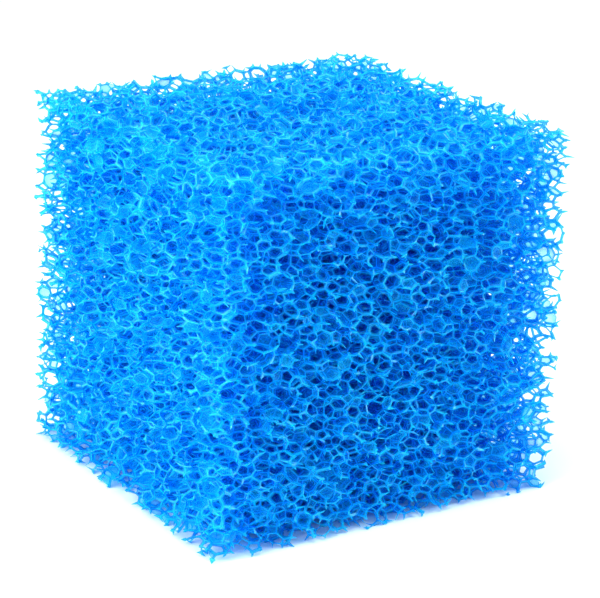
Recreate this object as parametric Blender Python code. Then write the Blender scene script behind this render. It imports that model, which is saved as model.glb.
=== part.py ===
"""A block of coarse open-cell filter foam, cut square from one bun of foam.

The whole object is one piece. It stands on its base, with +Z up, and its origin is the middle
of that base. Its longest side runs along Y. The solid is the block's outer form, from cut face
to cut face, with the short rounding that the crumbling cell edges leave along its corners.
"""

import bmesh
import bpy
from mathutils import Matrix

WIDTH_X = 0.0745
DEPTH_Y = 0.0795
HEIGHT_Z = 0.0750

# The cells along an edge have lost their outer struts, so the edge reads as slightly round.
EDGE_ROUNDING = 0.0012
EDGE_SEGMENTS = 3

FOAM_BLUE = (0.005, 0.21, 0.80, 1.0)
FOAM_ROUGHNESS = 0.35


def clear_scene():
    for obj in list(bpy.data.objects):
        bpy.data.objects.remove(obj, do_unlink=True)


def foam_material():
    material = bpy.data.materials.new("blue_foam")
    material.use_nodes = True
    shader = material.node_tree.nodes["Principled BSDF"]
    shader.inputs["Base Color"].default_value = FOAM_BLUE
    shader.inputs["Roughness"].default_value = FOAM_ROUGHNESS
    shader.inputs["Metallic"].default_value = 0.0
    return material


def block_mesh():
    """A box of the block's three sizes that stands on z = 0."""
    form = bmesh.new()
    bmesh.ops.create_cube(form, size=1.0)
    size = Matrix.Diagonal((WIDTH_X, DEPTH_Y, HEIGHT_Z, 1.0))
    to_floor = Matrix.Translation((0.0, 0.0, HEIGHT_Z / 2))
    bmesh.ops.transform(form, matrix=to_floor @ size, verts=form.verts)
    mesh = bpy.data.meshes.new("foam_block")
    form.to_mesh(mesh)
    form.free()
    return mesh


def round_edges(obj):
    bevel = obj.modifiers.new("edge_rounding", "BEVEL")
    bevel.width = EDGE_ROUNDING
    bevel.segments = EDGE_SEGMENTS
    bevel.limit_method = "ANGLE"


def foam_block():
    block = bpy.data.objects.new("foam_block", block_mesh())
    block.data.materials.append(foam_material())
    bpy.context.scene.collection.objects.link(block)
    round_edges(block)
    return block


clear_scene()
foam_block()
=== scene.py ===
import itertools
import math

import bpy
import numpy as np
from mathutils import Matrix, Vector
from mathutils.kdtree import KDTree


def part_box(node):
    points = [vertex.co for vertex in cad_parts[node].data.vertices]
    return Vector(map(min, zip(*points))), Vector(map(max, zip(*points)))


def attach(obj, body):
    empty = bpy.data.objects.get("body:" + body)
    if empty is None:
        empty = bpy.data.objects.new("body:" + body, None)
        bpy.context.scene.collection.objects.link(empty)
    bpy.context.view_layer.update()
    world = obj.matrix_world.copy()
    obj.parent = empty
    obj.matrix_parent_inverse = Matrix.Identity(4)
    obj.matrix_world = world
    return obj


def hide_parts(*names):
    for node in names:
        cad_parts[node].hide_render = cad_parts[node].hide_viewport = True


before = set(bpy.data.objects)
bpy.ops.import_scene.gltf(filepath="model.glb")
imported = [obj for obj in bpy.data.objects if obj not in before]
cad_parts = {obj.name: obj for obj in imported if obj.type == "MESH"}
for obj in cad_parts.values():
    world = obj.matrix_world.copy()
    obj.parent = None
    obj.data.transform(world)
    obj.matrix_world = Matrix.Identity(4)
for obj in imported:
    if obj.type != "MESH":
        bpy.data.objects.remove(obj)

# ---------------------------------------------------------------- the foam's driving values
# Lengths are in metres. The foam is first grown in a space where its cells are round, and then
# pressed flatter by CELL_STRETCH, because foam that rises in a mould has cells longer one way.
SEED = 7
CELLS = 10200  # in the block
CELL_STRETCH = np.array([1.0, 1.0, 0.74])
MARGIN = 0.0055  # of extra cells round the block, which the cut then takes off
RELAX_ROUNDS = 8
RELAX_REACH = 1.08  # of a cell's width: nearer cell centres than this push each other
RELAX_PUSH = 0.32
NEAR_CELLS = 34  # the neighbours that a cell can share a corner with
LARGEST_CORNER = 1.3  # of a cell's width: how far a corner can be from its cells' centres
SMOOTH_ROUNDS = 3
CUT_INSET = 0.0001
FLOOR_GAP = 0.00003

# Struts are six-pointed in section: a thin core with three fins of torn skin, one in each window.
CORE_RADIUS = 0.0001
KNOT_SPREAD = 0.15  # how much the core's radius varies from knot to knot
HOLE_SHARE = (0.55, 0.92)  # of a window's own size: the hole in its skin
FIN_REACH = (0.00012, 0.0004)
RING_SHARE = 0.26  # of a strut's length: where the knot ends and the strut begins
RING_REACH = (0.00022, 0.0005)
RING_WIDER = 1.15
RING_THICKER = 1.3
WIDEST_RING = 1.4  # of the ring's distance from the knot's middle
FILLET_SAG = 0.14
KNOT_HOLLOW = 1.5  # core radii from the knot's middle to the hollows between its struts
FINE_DEPTH = 0.006  # knots deeper in the block than this have fewer faces

# Struts that the cut went through end near it, unevenly.
CUT_MISS, CUT_SPREAD = 0.0001, 0.0004
CUT_SHARES = (0.25, 0.9)  # of the strut's length: the least and the most that is left
LEAST_STUB = 0.0001
TIP_REACH, TIP_GIRTH, TIP_LENGTH = 0.3, 0.6, 0.00015

# A few windows keep their whole skin.
FILM_SHARE = 0.32
FILM_DEPTH = 0.014  # films deeper in the block than this would not be seen
FILM_THICKNESS = 0.00005
FILM_TRIM = 0.7
FILM_BULGE = 0.0001

SPLITS = (3, 3, 4)  # pieces along each side, so that each stays small enough to export whole
SHARP_ANGLE = math.radians(55)

# The look, and the light.
CLUMP_APART = 0.0045
GRAIN_APART = 0.0008
NOISE_SPAN = (0.35, 0.68)  # the part of the noise's range that is used
# PALE_SHARE and PALE_BLUE make pale cyan clumps at random places: a painted highlight, standing in for
# brightly lit clumps and glints
PALE_SHARE = 0.55
CLEAR_SPREAD = (1.12, 0.8)
ROUGHNESS = (0.12, 0.4)
SCATTER_DEPTH = 0.0006
SCATTER_RADIUS = (0.1, 0.5, 1.0)
SHINE_TINT = (0.35, 0.85, 1.0, 1.0)
PALE_BLUE = (0.02, 0.70, 0.97, 1.0)
FLOOR_COLOUR = (0.82, 0.98, 0.97, 1.0)
FLOOR_HALF = 3.0
SKY_STRENGTH = 0.37
BACKDROP_STRENGTH = 1.1
CAMERA_AZIMUTH, CAMERA_ELEVATION, CAMERA_ROLL = 57.26, 18.77, 1.75
CAMERA_HEIGHTS = 6.48  # the camera's distance from the block's middle, in block heights
LENS_MM, SENSOR_MM = 143.87, 36.0
SHIFT = (0.01163, -0.01752)

cad_low, cad_high = (np.array(corner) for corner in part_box("foam_block"))
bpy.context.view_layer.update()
block_size = cad_high - cad_low
block_middle = (cad_low + cad_high) / 2
half_cut = block_size / 2 - CUT_INSET


# ---------------------------------------------------------------- cells, knots and windows
def neighbour_table(points, count):
    tree = KDTree(len(points))
    for i, p in enumerate(points):
        tree.insert(p, i)
    tree.balance()
    return np.array([[found[1] for found in tree.find_n(p, count + 1)[1:]] for p in points])


def relaxed_sites(rng, low, high, cell_volume):
    """Random cell centres that have pushed each other apart, as bubbles of one size do."""
    count = int(np.prod(high - low) / cell_volume)
    points = rng.uniform(low, high, (count, 3))
    reach = RELAX_REACH * cell_volume ** (1 / 3)
    for turn in range(RELAX_ROUNDS):
        if turn % 3 == 0:
            table = neighbour_table(points, 16)
        away = points[:, None] - points[table]
        gap = np.linalg.norm(away, axis=2, keepdims=True)
        push = np.clip(reach - gap, 0, None) * away / np.maximum(gap, 1e-9)
        points = np.clip(points + RELAX_PUSH * push.sum(1), low, high)
    return points


def voronoi_vertices(points, largest):
    """(places, sites): each point that four cell centres are equally near, with none nearer."""
    table = neighbour_table(points, NEAR_CELLS)
    triples = np.array(list(itertools.combinations(range(NEAR_CELLS), 3)))
    places, owners = [], []
    for start in range(0, len(points), 100):
        own = np.arange(start, min(start + 100, len(points)))
        near = table[own]
        rel = points[near] - points[own][:, None]
        who, which = np.nonzero((near > own[:, None])[:, triples].all(2))
        a, b, c = (rel[who, triples[which, k]] for k in range(3))
        bc = np.cross(b, c)
        det = np.einsum("ij,ij->i", a, bc)
        good = np.abs(det) > 1e-9 * largest**3
        who, which, a, b, c, bc, det = (x[good] for x in (who, which, a, b, c, bc, det))
        squares = [np.einsum("ij,ij->i", x, x)[:, None] for x in (a, b, c)]
        top = squares[0] * bc + squares[1] * np.cross(c, a) + squares[2] * np.cross(a, b)
        centre = top / (2 * det[:, None])
        keep = np.einsum("ij,ij->i", centre, centre) < largest**2
        who, which, centre = who[keep], which[keep], centre[keep]
        lengths = np.einsum("ijk,ijk->ij", rel, rel)[who]
        gap = lengths - 2 * np.einsum("ijk,ik->ij", rel[who], centre)
        empty = (gap > -1e-9 * largest**2).all(1)
        who, which, centre = who[empty], which[empty], centre[empty]
        places.append(points[own[who]] + centre)
        owners.append(np.column_stack([own[who], near[who[:, None], triples[which]]]))
    return np.concatenate(places), np.sort(np.concatenate(owners), axis=1)


# A vertex touches four cells. Arm k of it is the strut between three of them, face f the
# window between two, and the patch of cell p is the part of the knot's surface that faces p.
ARM_CELLS = np.array([[0, 1, 2], [0, 1, 3], [0, 2, 3], [1, 2, 3]])
FACE_CELLS = ((0, 1), (0, 2), (0, 3), (1, 2), (1, 3), (2, 3))
CUSP_CELLS = [(0, 1), (0, 2), (1, 2)]
ARM_FACES = np.array(
    [[FACE_CELLS.index(tuple(arm[list(c)])) for c in CUSP_CELLS] for arm in ARM_CELLS]
)


def arm_keys(sites, total):
    keys = sites[:, ARM_CELLS]
    return (keys[..., 0] * total + keys[..., 1]) * total + keys[..., 2]


def joined_arms(sites, total):
    """For each vertex and arm, the flat number (vertex * 4 + arm) at the strut's other end, or -1."""
    flat = arm_keys(sites, total).ravel()
    order = np.argsort(flat, kind="stable")
    ranked = flat[order]
    starts = np.nonzero(np.r_[True, ranked[1:] != ranked[:-1]])[0]
    counts = np.diff(np.r_[starts, len(ranked)])
    pairs = starts[counts == 2]
    partner = np.full(flat.shape, -1)
    partner[order[pairs]] = order[pairs + 1]
    partner[order[pairs + 1]] = order[pairs]
    return partner.reshape(-1, 4)


def unit(x):
    return x / np.maximum(np.linalg.norm(x, axis=-1, keepdims=True), 1e-12)


def smoothed(places, partner, rounds, share=0.5):
    """Pulls each vertex towards the middle of its four neighbours, which evens out the struts."""
    whole = (partner >= 0).all(1)[:, None]
    for _ in range(rounds):
        middle = places[partner // 4].mean(1)
        places = np.where(whole, places + share * (middle - places), places)
    return places


class Soup:
    """Points and triangles that are gathered piece by piece, each triangle with its owner."""

    def __init__(self):
        self.points, self.thinness, self.count, self.faces, self.owners = [], [], 0, [], []

    def add(self, points, thinness):
        """Adds points and gives their numbers, in the same array shape. Thinness is 1 at a fin's edge."""
        shape = points.shape[:-1]
        self.points.append(points.reshape(-1, 3))
        self.thinness.append(np.broadcast_to(thinness, shape).ravel())
        self.count += int(np.prod(shape))
        return np.arange(self.count - int(np.prod(shape)), self.count).reshape(shape)

    def face(self, a, b, c, owner, turned):
        flip = np.broadcast_to(turned, a.shape)
        self.faces.append(np.stack([a, np.where(flip, c, b), np.where(flip, b, c)], -1).reshape(-1, 3))
        self.owners.append(np.broadcast_to(owner, a.shape).ravel())

    def quad(self, a, b, c, d, owner, turned):
        self.face(a, b, c, owner, turned)
        self.face(a, c, d, owner, turned)


def build_network():
    rng = np.random.default_rng(SEED)
    stretch = CELL_STRETCH / np.prod(CELL_STRETCH) ** (1 / 3)
    cell_volume = np.prod(block_size) / CELLS
    low, high = (-block_size / 2 - MARGIN) / stretch, (block_size / 2 + MARGIN) / stretch
    cells = relaxed_sites(rng, low, high, cell_volume)
    places, sites = voronoi_vertices(cells, LARGEST_CORNER * cell_volume ** (1 / 3))
    partner = joined_arms(sites, len(cells))
    places = smoothed(places, partner, SMOOTH_ROUNDS)
    return cells * stretch, places * stretch, sites, partner, rng


class Windows:
    """Every opening between two cells: its middle, its size, and the corners round it in order."""

    def __init__(self, cells, places, sites):
        pairs = sites[:, np.array(FACE_CELLS)]
        key = (pairs[..., 0] * len(cells) + pairs[..., 1]).ravel()
        corner = np.repeat(np.arange(len(places)), 6)
        names, group, self.count = np.unique(key, return_inverse=True, return_counts=True)
        self.of_corner = group.reshape(-1, 6)
        sums = np.stack([np.bincount(group, places[corner, a]) for a in range(3)], 1)
        self.middle = sums / self.count[:, None]
        self.normal = unit(cells[names % len(cells)] - cells[names // len(cells)])
        side = unit(np.cross(self.normal, [0.3, 0.5, 0.81]))
        rise = np.cross(self.normal, side)
        out = places[corner] - self.middle[group]
        turn = np.arctan2((out * rise[group]).sum(1), (out * side[group]).sum(1))
        order = np.lexsort((turn, group))
        self.corners = corner[order]
        self.starts = np.r_[0, np.cumsum(self.count)[:-1]]
        following = np.arange(len(order)) + 1
        following[self.starts + self.count - 1] = self.starts
        edge = (places[self.corners] + places[self.corners[following]]) / 2
        self.size = np.minimum.reduceat(
            np.linalg.norm(edge - self.middle[group[order]], axis=1), self.starts
        )


class Foam:
    """The struts inside the block, joined at knots. Arrays are per knot, and then per arm of the knot."""

    def __init__(self, cells, places, sites, partner, windows, rng):
        depth = (half_cut - np.abs(places)).min(1)
        index = np.nonzero((depth > 0) & (partner >= 0).all(1))[0]
        self.soup, self.rng = Soup(), rng
        self.knots = places[index]
        self.owner = np.arange(len(index))
        self.chunk = chunk_of(self.knots)
        self.deep = depth[index] > FINE_DEPTH
        at = np.full(len(places), -1)
        at[index] = self.owner
        partner = partner[index]
        self.mate_knot, self.mate_arm = at[partner // 4], partner % 4
        far = places[partner // 4]
        self.frame_arms(cells[sites[index]], far)
        # how far each window's torn skin reaches in from the strut, and how thick the strut's core is
        hole = rng.uniform(*HOLE_SHARE, len(windows.size))
        reach = np.clip((1 - hole) * windows.size, *FIN_REACH)[windows.of_corner[index]][:, ARM_FACES]
        shortest = np.minimum(0.45 * self.length, RING_REACH[0])
        self.ring_at = np.clip(RING_SHARE * self.length, shortest, RING_REACH[1])
        self.reach = np.minimum(reach, WIDEST_RING * self.ring_at[..., None])
        uneven = np.clip(rng.normal(0, 1, len(index)), -2, 2)
        self.core = CORE_RADIUS * (1 + KNOT_SPREAD * uneven)[:, None, None]

    def frame_arms(self, corner, far):
        """Each strut's own frame, the same from both ends: cusps point into windows, flanks to cells."""
        knots = self.knots
        self.middle = (knots[:, None] + far) / 2
        self.along = unit(far - knots[:, None])
        self.length = np.linalg.norm(far - knots[:, None], axis=2)
        to_cells = corner[:, ARM_CELLS] - self.middle[:, :, None]
        onto = (to_cells * self.along[:, :, None]).sum(3, keepdims=True) * self.along[:, :, None]
        self.flanks = flanks = unit(to_cells - onto)
        cusps = [unit(flanks[:, :, p] + flanks[:, :, q] - flanks[:, :, 3 - p - q]) for p, q in CUSP_CELLS]
        self.cusps = np.stack(cusps, 2)
        self.turned = np.linalg.det(corner[:, 1:] - corner[:, :1]) > 0

    def star(self, arms, base, spread, girth):
        """Six points round each base: the three fin edges, with the three hollows of the core between."""
        tips, hollows = self.cusps[arms] * spread[..., None], self.flanks[arms] * girth[..., None]
        around = (tips[..., 0, :], hollows[..., 0, :], tips[..., 1, :],
                  hollows[..., 2, :], tips[..., 2, :], hollows[..., 1, :])
        points = base[..., None, :] + np.stack(around, -2)
        return self.soup.add(points, [1.0, 0.0, 1.0, 0.0, 1.0, 0.0]), points

    def tube(self, first, last, owner, turned):
        """Six sides between two stars."""
        for a in range(6):
            b = (a + 1) % 6
            self.soup.quad(first[:, a], first[:, b], last[:, b], last[:, a], owner, turned)

    def tube_turned(self, knot, arm):
        return ~(self.turned[knot] ^ (arm % 2 == 1))

    def add_knots(self):
        count, soup = len(self.knots), self.soup
        every = np.ix_(np.arange(count), np.arange(4))
        ring_base = self.knots[:, None] + self.along * self.ring_at[..., None]
        girth = np.broadcast_to(RING_THICKER * self.core, (count, 4, 3))
        self.rings, ring = self.star(every, ring_base, RING_WIDER * self.reach, girth)
        fillets = []
        for p, q in FACE_CELLS:
            (k, i), (l, j) = [(k, 2 * cusp_of(k, p, q)) for k in range(4) if {p, q} <= set(ARM_CELLS[k])]
            a, b = ring[:, k, i], ring[:, l, j]
            inward = unit(self.along[:, k] + self.along[:, l])
            sag = FILLET_SAG * np.linalg.norm(a - b, axis=1, keepdims=True)
            fillets.append((a + b) / 2 - inward * sag)
        fillet = soup.add(np.stack(fillets, 1), 1.0)
        away = self.along[:, [3, 2, 1, 0]]  # the arm that cell p does not touch
        hollow = soup.add(self.knots[:, None] - away * KNOT_HOLLOW * self.core, 0.0)
        for p in range(4):
            self.add_patch(p, fillet, hollow[:, p])

    def add_patch(self, p, fillet, hollow):
        """The part of each knot's surface that faces its cell p, from strut to strut."""
        q, r, s = [x for x in range(4) if x != p]
        loop, corners = [], []
        for near_face, far_face in (((p, q), (p, r)), ((p, r), (p, s)), ((p, s), (p, q))):
            k = [k for k in range(4) if set(near_face) | set(far_face) == set(ARM_CELLS[k])][0]
            first, last = 2 * cusp_of(k, *near_face), 2 * cusp_of(k, *far_face)
            between = (first + last) // 2 if abs(first - last) == 2 else 5
            corners += [self.rings[:, k, first], self.rings[:, k, between], self.rings[:, k, last]]
            loop += corners[-3:] + [fillet[:, FACE_CELLS.index(tuple(sorted(far_face)))]]
        turned = self.turned ^ (p % 2 == 1)
        fine, deep, owner, add = ~self.deep, self.deep, self.owner, self.soup.face
        for a, b in zip(loop, loop[1:] + loop[:1]):
            add(hollow[fine], a[fine], b[fine], owner[fine], turned[fine])
        for a, b in zip(corners[1:8], corners[2:9]):
            add(corners[0][deep], a[deep], b[deep], owner[deep], turned[deep])

    def add_whole_struts(self):
        """Struts between two knots. One that passes from piece to piece is capped where they meet."""
        i, k = np.nonzero(self.mate_knot >= 0)
        first = i < self.mate_knot[i, k]
        i, k = i[first], k[first]
        j, l = self.mate_knot[i, k], self.mate_arm[i, k]
        crossing = self.chunk[i] != self.chunk[j]
        x, y, z, w = (ends[~crossing] for ends in (i, k, j, l))
        self.tube(self.rings[x, y], self.rings[z, w], x, self.tube_turned(x, y))
        i, k, j, l = (ends[crossing] for ends in (i, k, j, l))
        girth = np.broadcast_to(self.core[i, 0], (len(i), 3))
        cap = self.star((i, k), self.middle[i, k], self.reach[i, k], girth)[0]
        for knot, arm in ((i, k), (j, l)):
            turned = self.tube_turned(knot, arm)
            self.tube(self.rings[knot, arm], cap, knot, turned)
            for a in (1, 2, 3, 4):
                self.soup.face(cap[:, 0], cap[:, a], cap[:, a + 1], knot, turned)

    def add_cut_struts(self):
        i, k = np.nonzero(self.mate_knot < 0)
        along, start = self.along[i, k], self.knots[i]
        with np.errstate(divide="ignore", invalid="ignore"):
            to_sides = (half_cut * np.sign(along) - start) / along
        cut_at = np.where(np.abs(along) > 1e-6, to_sides, np.inf).min(1)
        cut_at = cut_at + self.rng.normal(CUT_MISS, CUT_SPREAD, len(cut_at))
        least, most = (share * self.length[i, k] for share in CUT_SHARES)
        cut_at = np.maximum(np.clip(cut_at, least, most), self.ring_at[i, k] + LEAST_STUB)
        end = start + along * cut_at[:, None]
        lowest = -block_size[2] / 2 + FLOOR_GAP + CORE_RADIUS
        end[:, 2] = np.maximum(end[:, 2], lowest)
        girth = np.broadcast_to(TIP_GIRTH * self.core[i, 0], (len(i), 3))
        rim = self.star((i, k), end, TIP_REACH * self.reach[i, k], girth)[0]
        tip = self.soup.add(end + along * TIP_LENGTH, 0.0)
        turned = self.tube_turned(i, k)
        self.tube(self.rings[i, k], rim, i, turned)
        for a in range(6):
            self.soup.face(rim[:, a], rim[:, (a + 1) % 6], tip, i, turned)


def cusp_of(arm, p, q):
    """Which cusp of this arm lies in the window between cells p and q."""
    return [set(ARM_CELLS[arm][list(c)]) for c in CUSP_CELLS].index({p, q})


def chunk_of(places):
    """Which of the block's SPLITS pieces each place is in."""
    cell = [
        np.clip(((places[:, a] / block_size[a] + 0.5) * SPLITS[a]).astype(int), 0, SPLITS[a] - 1)
        for a in range(3)
    ]
    return (cell[0] * SPLITS[1] + cell[1]) * SPLITS[2] + cell[2]


def mesh_object(name, points, thinness, faces):
    mesh = bpy.data.meshes.new(name)
    mesh.vertices.add(len(points))
    mesh.vertices.foreach_set("co", points.astype(np.float32).ravel())
    mesh.loops.add(len(faces) * 3)
    mesh.loops.foreach_set("vertex_index", faces.astype(np.int32).ravel())
    mesh.polygons.add(len(faces))
    mesh.polygons.foreach_set("loop_start", np.arange(0, len(faces) * 3, 3, dtype=np.int32))
    mesh.polygons.foreach_set("use_smooth", np.ones(len(faces), bool))
    mesh.update(calc_edges=True)
    mesh.set_sharp_from_angle(angle=SHARP_ANGLE)
    values = mesh.attributes.new("thinness", "FLOAT", "POINT").data
    values.foreach_set("value", thinness.astype(np.float32))
    obj = bpy.data.objects.new(name, mesh)
    bpy.context.scene.collection.objects.link(obj)
    return obj


def split_pieces(name, soup, chunk):
    points = np.concatenate(soup.points) + block_middle
    points[:, 2] = np.maximum(points[:, 2], FLOOR_GAP)
    thinness = np.concatenate(soup.thinness)
    faces, owners = np.concatenate(soup.faces), np.concatenate(soup.owners)
    pieces = []
    for number in range(chunk.max() + 1):
        used, local = np.unique(faces[chunk[owners] == number], return_inverse=True)
        name_here = f"{name}_{number + 1:02d}"
        pieces.append(mesh_object(name_here, points[used], thinness[used], local.reshape(-1, 3)))
    return pieces


def trimmed(loops):
    """Pulls each corner that is outside the block back to where its neighbours' edges meet the cut."""
    kept = (np.abs(loops) < half_cut).all(2)
    meets, weight = np.zeros_like(loops), np.zeros(kept.shape)
    for step in (1, -1):
        start = np.roll(loops, step, 1)
        ends_here = np.roll(kept, step, 1) & ~kept
        d = loops - start
        with np.errstate(divide="ignore", invalid="ignore"):
            share = np.where(d != 0, (half_cut * np.sign(d) - start) / d, np.inf).min(2)
        meets += np.where(ends_here[..., None], start + d * (FILM_TRIM * share)[..., None], 0)
        weight += ends_here
    places = np.where(kept[..., None], loops, meets / np.maximum(weight, 1)[..., None])
    lost = ~kept & (weight == 0)
    between = (np.roll(places, 1, 1) + np.roll(places, -1, 1)) / 2
    return np.where(lost[..., None], between, places)


def film_soup(places, windows, rng):
    """Thin skins left whole across a few windows: flat lenses that end on the struts' middle lines."""
    soup, spots, made = Soup(), [], 0
    inside = ((half_cut - np.abs(places)).min(1) > 0)[windows.corners].astype(int)
    depth = (half_cut - np.abs(windows.middle)).min(1)
    filmed = rng.random(len(depth)) < FILM_SHARE
    mostly_inside = np.add.reduceat(inside, windows.starts) >= windows.count - 1
    keep = filmed & mostly_inside & (depth < FILM_DEPTH)
    for m in range(4, 9):
        which = np.nonzero(keep & (windows.count == m))[0]
        n = len(which)
        rim = trimmed(places[windows.corners[windows.starts[which][:, None] + np.arange(m)]])
        lift = windows.normal[which] * FILM_THICKNESS / 2
        middle = rim.mean(1) + windows.normal[which] * rng.normal(0, FILM_BULGE, (n, 1))
        edge = soup.add(rim, 0.5)
        for side, turned in ((1, False), (-1, True)):
            top = soup.add(middle + side * lift, 1.0)
            for i in range(m):
                soup.face(top, edge[:, i], edge[:, (i + 1) % m], made + np.arange(n), turned)
        spots.append(middle)
        made += n
    return soup, chunk_of(np.concatenate(spots)) // SPLITS[2]


# ---------------------------------------------------------------- material
# The foam is dyed clear plastic. Where it is thick it scatters the light inside, and where it thins out
# to a torn skin it lets light through and dyes it. The "thinness" values say where that is. The struts'
# thick cores are painted a lighter, greener blue than the fins: a painted highlight that makes them read
# as bright lines.
def soft_spots(tree, apart, low, high):
    """A smooth random value from low to high, with spots about this many metres apart."""
    place = tree.nodes.new("ShaderNodeTexCoord")
    noise = tree.nodes.new("ShaderNodeTexNoise")
    noise.inputs["Scale"].default_value = 1 / apart
    noise.inputs["Detail"].default_value = 2.0
    tree.links.new(place.outputs["Object"], noise.inputs["Vector"])
    return spread(tree, noise.outputs["Fac"], NOISE_SPAN, (low, high))


def spread(tree, value, given, wanted):
    """Maps the given span of a value to the wanted one, and holds it at both ends."""
    node = tree.nodes.new("ShaderNodeMapRange")
    for name, number in zip(("From Min", "From Max", "To Min", "To Max"), given + wanted):
        node.inputs[name].default_value = number
    tree.links.new(value, node.inputs["Value"])
    return node.outputs["Result"]


def blended(tree, share, first, second):
    node = tree.nodes.new("ShaderNodeMix")
    node.data_type = "RGBA"
    tree.links.new(share, node.inputs[0])
    for socket, colour in ((node.inputs[6], first), (node.inputs[7], second)):
        if isinstance(colour, tuple):
            socket.default_value = colour
        else:
            tree.links.new(colour, socket)
    return node.outputs[2]


def plain_plastic(name, colour, roughness, alpha):
    material = bpy.data.materials.new(name)
    material.use_nodes = True
    shader = material.node_tree.nodes["Principled BSDF"]
    shader.inputs["Base Color"].default_value = colour
    shader.inputs["Roughness"].default_value = roughness
    shader.inputs["Alpha"].default_value = alpha
    return material


def dyed_plastic_with_painted_light(name, thick, thin, clear_from, clear_to, tint, scatter, shine):
    """Dyed plastic that goes from the thick colour to the thin one, and clear towards its edges. A thick
    colour lighter than the thin one is a painted highlight on the cores.
    """
    material = plain_plastic(name, thick, 0.3, 1.0)
    tree = material.node_tree
    shader = tree.nodes["Principled BSDF"]
    thinness = tree.nodes.new("ShaderNodeAttribute")
    thinness.attribute_name = "thinness"
    # the thick colour against the thin one: for the struts, a lighter core that is a painted highlight
    thickness_colour_with_painted_highlight = blended(tree, thinness.outputs["Fac"], thick, thin)
    # pale cyan clumps at random places: a painted highlight for brightly lit clumps and glints
    pale_highlight_clumps = soft_spots(tree, CLUMP_APART, 0.0, PALE_SHARE)
    tree.links.new(blended(tree, pale_highlight_clumps, thickness_colour_with_painted_highlight, PALE_BLUE), shader.inputs["Base Color"])
    tree.links.new(soft_spots(tree, GRAIN_APART, *ROUGHNESS), shader.inputs["Roughness"])
    shader.inputs["Specular IOR Level"].default_value = shine
    shader.inputs["Specular Tint"].default_value = SHINE_TINT
    shader.inputs["Subsurface Weight"].default_value = scatter
    shader.inputs["Subsurface Radius"].default_value = SCATTER_RADIUS
    shader.inputs["Subsurface Scale"].default_value = SCATTER_DEPTH
    through = tree.nodes.new("ShaderNodeBsdfTransparent")
    through.inputs["Color"].default_value = tint
    mixed = tree.nodes.new("ShaderNodeMixShader")
    clear = spread(tree, thinness.outputs["Fac"], clear_from, clear_to)
    uneven = tree.nodes.new("ShaderNodeMath")
    uneven.operation = "MULTIPLY"
    tree.links.new(clear, uneven.inputs[0])
    tree.links.new(soft_spots(tree, CLUMP_APART, *CLEAR_SPREAD), uneven.inputs[1])
    tree.links.new(uneven.outputs["Value"], mixed.inputs["Fac"])
    tree.links.new(shader.outputs["BSDF"], mixed.inputs[1])
    tree.links.new(through.outputs["BSDF"], mixed.inputs[2])
    tree.links.new(mixed.outputs["Shader"], tree.nodes["Material Output"].inputs["Surface"])
    return material


# ---------------------------------------------------------------- stage, light, camera
def stage():
    mesh = bpy.data.meshes.new("floor")
    s = FLOOR_HALF
    mesh.from_pydata([(-s, -s, 0), (s, -s, 0), (s, s, 0), (-s, s, 0)], [], [(0, 1, 2, 3)])
    floor = bpy.data.objects.new("floor", mesh)
    bpy.context.scene.collection.objects.link(floor)
    material = bpy.data.materials.new("floor_white")
    material.use_nodes = True
    shader = material.node_tree.nodes["Principled BSDF"]
    shader.inputs["Base Color"].default_value = FLOOR_COLOUR
    shader.inputs["Roughness"].default_value = 0.8
    mesh.materials.append(material)
    world = bpy.data.worlds.new("studio")
    world.use_nodes = True
    background = world.node_tree.nodes["Background"]
    background.inputs["Color"].default_value = (1, 1, 1, 1)
    # the backdrop shows as pure white, while it lights the block less than that
    path = world.node_tree.nodes.new("ShaderNodeLightPath")
    strength = world.node_tree.nodes.new("ShaderNodeMix")
    strength.data_type = "FLOAT"
    strength.inputs[2].default_value = SKY_STRENGTH
    strength.inputs[3].default_value = BACKDROP_STRENGTH
    world.node_tree.links.new(path.outputs["Is Camera Ray"], strength.inputs[0])
    world.node_tree.links.new(strength.outputs[0], background.inputs["Strength"])
    bpy.context.scene.world = world


def softbox(name, azimuth, elevation, distance, size, power):
    """A square softbox that faces the block's middle. Azimuth 0 is in front, at -Y, and 90 at +X."""
    a, e = math.radians(azimuth), math.radians(elevation)
    away = Vector((math.sin(a) * math.cos(e), -math.cos(a) * math.cos(e), math.sin(e)))
    lamp = bpy.data.lights.new(name, "AREA")
    lamp.size = size
    lamp.energy = power
    obj = bpy.data.objects.new(name, lamp)
    obj.location = Vector(block_middle) + away * distance
    obj.rotation_euler = away.to_track_quat("Z", "Y").to_euler()
    bpy.context.scene.collection.objects.link(obj)


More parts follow.
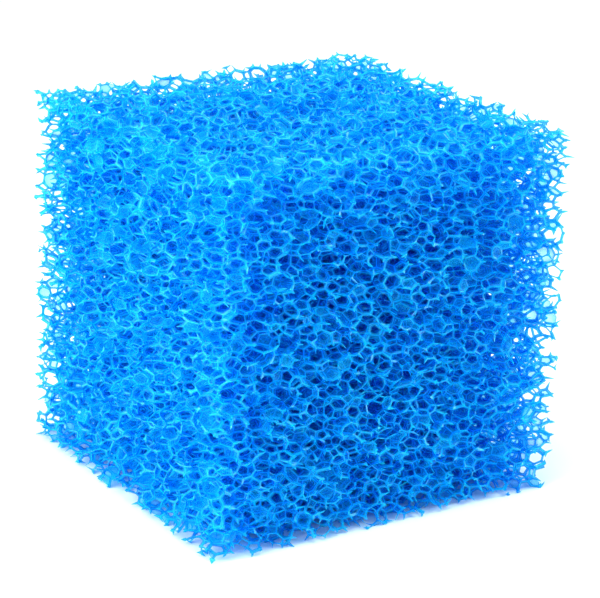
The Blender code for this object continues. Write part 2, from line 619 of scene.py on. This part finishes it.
def camera():
    angles = (CAMERA_AZIMUTH, CAMERA_ELEVATION, CAMERA_ROLL)
    azimuth, elevation, roll = (math.radians(angle) for angle in angles)
    level = math.cos(elevation)
    back = np.array([math.sin(azimuth) * level, -math.cos(azimuth) * level, math.sin(elevation)])
    right = np.array([math.cos(azimuth), math.sin(azimuth), 0])
    up = np.cross(back, right)
    rolled_right = math.cos(roll) * right + math.sin(roll) * up
    rolled_up = -math.sin(roll) * right + math.cos(roll) * up
    place = block_middle + back * CAMERA_HEIGHTS * block_size[2]
    data = bpy.data.cameras.new("camera")
    data.sensor_width = SENSOR_MM
    data.lens = LENS_MM
    data.clip_start = 0.05
    data.shift_x, data.shift_y = SHIFT
    obj = bpy.data.objects.new("camera", data)
    pose = np.eye(4)
    pose[:3] = np.column_stack([rolled_right, rolled_up, back, place])
    obj.matrix_world = Matrix(pose.tolist())
    bpy.context.scene.collection.objects.link(obj)
    bpy.context.scene.camera = obj


# ---------------------------------------------------------------- the model
cells, places, sites, partner, rng = build_network()
windows = Windows(cells, places, sites)
foam = Foam(cells, places, sites, partner, windows, rng)
foam.add_knots()
foam.add_whole_struts()
foam.add_cut_struts()
struts = split_pieces("foam_struts", foam.soup, foam.chunk)
films = split_pieces("window_films", *film_soup(places, windows, rng))
# Each piece shows the dyed plastic with its painted highlights, and its mesh holds a plain one for uses
# that can't take nodes.
looks = {
    "strut": (
        plain_plastic("strut_plain", (0.0, 0.45, 0.95, 1.0), 0.3, 1.0),
        # thick is painted lighter and greener than thin: a painted highlight along the strut cores
        dyed_plastic_with_painted_light(
            "strut_blue", thick=(0.0, 0.43, 0.98, 1.0), thin=(0.0, 0.33, 0.99, 1.0),
            clear_from=(0.05, 0.55), clear_to=(0.15, 0.65), tint=(0.5, 0.90, 1.0, 1.0),
            scatter=1.0, shine=0.45,
        ),
    ),
    "film": (
        plain_plastic("film_plain", (0.0, 0.55, 0.96, 1.0), 0.3, 0.25),
        dyed_plastic_with_painted_light(
            "film_blue", thick=(0.0, 0.40, 0.98, 1.0), thin=(0.0, 0.40, 0.98, 1.0),
            clear_from=(0.5, 0.85), clear_to=(0.65, 0.92), tint=(0.70, 0.94, 1.0, 1.0),
            scatter=0.0, shine=0.1,
        ),
    ),
}
for kind, pieces in (("strut", struts), ("film", films)):
    plain, dyed = looks[kind]
    for piece in pieces:
        piece.data.materials.append(plain)
        piece.material_slots[0].link = "OBJECT"
        piece.material_slots[0].material = dyed
        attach(piece, "root")
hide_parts("foam_block")
stage()
# Directions round and above the block in degrees, distance and size in metres, power in watts.
softbox("left", -25, 28, 0.9, 0.6, 3.1)
softbox("over", 60, 82, 0.9, 0.7, 9.4)
softbox("corner", 8, 20, 0.35, 0.2, 0.95)
softbox("rim", 160, 15, 0.9, 0.6, 8.0)
camera()
bpy.context.scene.view_settings.view_transform = "Standard"
bpy.context.scene.cycles.diffuse_bounces = 8
bpy.context.scene.cycles.max_bounces = 10
bpy.context.scene.cycles.transparent_max_bounces = 20
